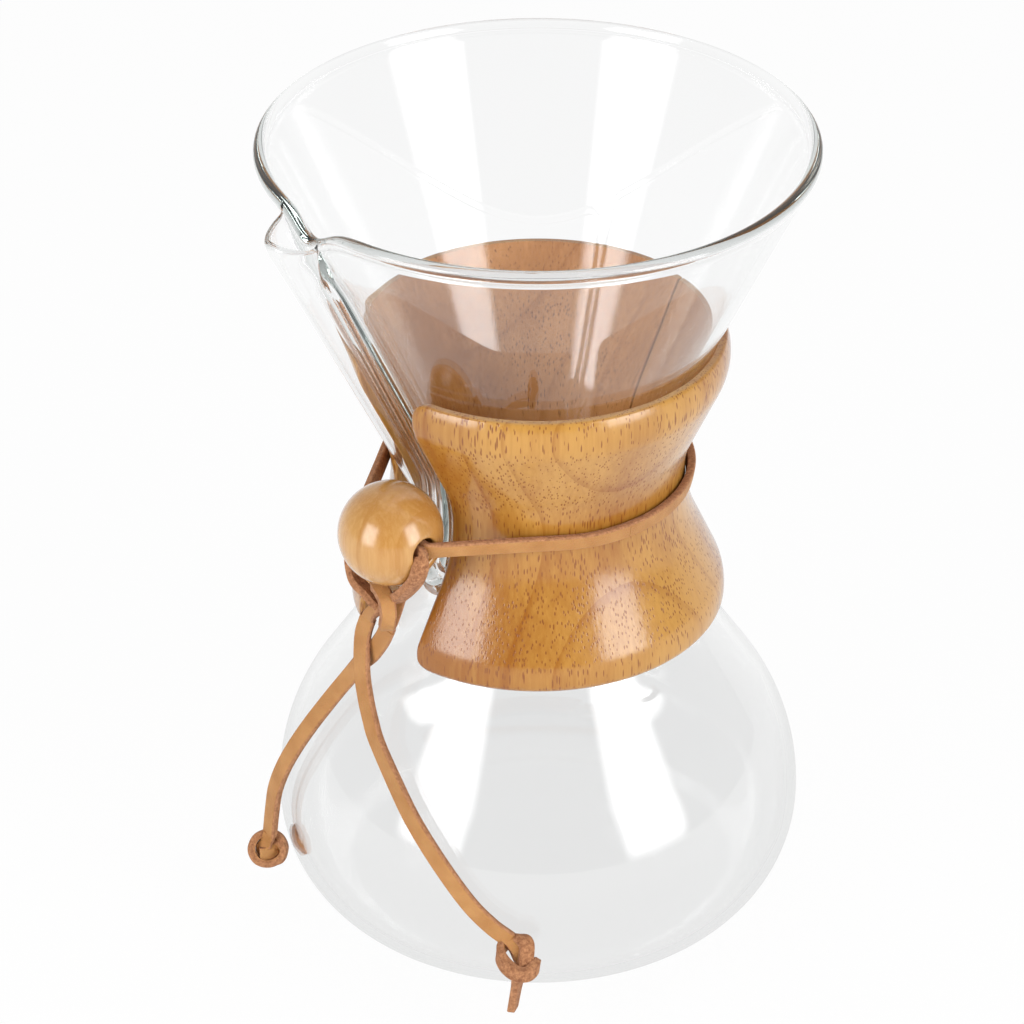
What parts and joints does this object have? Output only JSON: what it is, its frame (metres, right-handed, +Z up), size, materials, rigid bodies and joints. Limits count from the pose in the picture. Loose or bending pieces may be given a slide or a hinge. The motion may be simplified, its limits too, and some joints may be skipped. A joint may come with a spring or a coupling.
{
  "type": "pour-over coffee maker",
  "caption": "Hourglass glass pour-over carafe with a fused pouring tube, a split wooden collar, a knotted leather tie and a wooden bead",
  "frame": {"origin": "centre of the flat base, on the surface that the carafe stands on", "axes": "+Z is up along the axis of the carafe, the pouring tube faces -Y, and the collar splits along the YZ plane"},
  "size_m": [0.136, 0.1471, 0.216],
  "materials": {
    "glass": "clear borosilicate glass, fire-polished rim",
    "collar_wood": "glossy lacquered hardwood with short dark pores",
    "bead_wood": "smooth glossy lacquered hardwood",
    "leather": "tan strip leather, smooth on one side and suede on the other"
  },
  "bodies": {
    "carafe": {"glass_carafe": "glass", "tie_front_right": "leather", "tie_back_right": "leather", "tie_back_left": "leather", "tie_front_left": "leather", "tie_knot": "leather", "tail_front": "leather", "tail_side": "leather", "end_knot_front": "leather", "end_knot_side": "leather"},
    "collar_right": {"collar_right": "collar_wood"},
    "collar_left": {"collar_left": "collar_wood"},
    "bead": {"bead": "bead_wood"}
  },
  "joints": [
    {"name": "collar_right_slide", "type": "slide", "parent": "carafe", "child": "collar_right", "axis": [1, 0, 0], "range_m": [0, 0.01], "deforming": ["tie_front_right", "tie_back_right"]},
    {"name": "collar_left_slide", "type": "slide", "parent": "carafe", "child": "collar_left", "axis": [-1, 0, 0], "range_m": [0, 0.01], "deforming": ["tie_front_left", "tie_back_left"]},
    {"name": "bead_spin", "type": "hinge", "parent": "carafe", "child": "bead", "pos_m": [0.008, -0.0494, 0.1264], "axis": [0.9871, 0.1599, 0], "continuous": true}
  ]
}
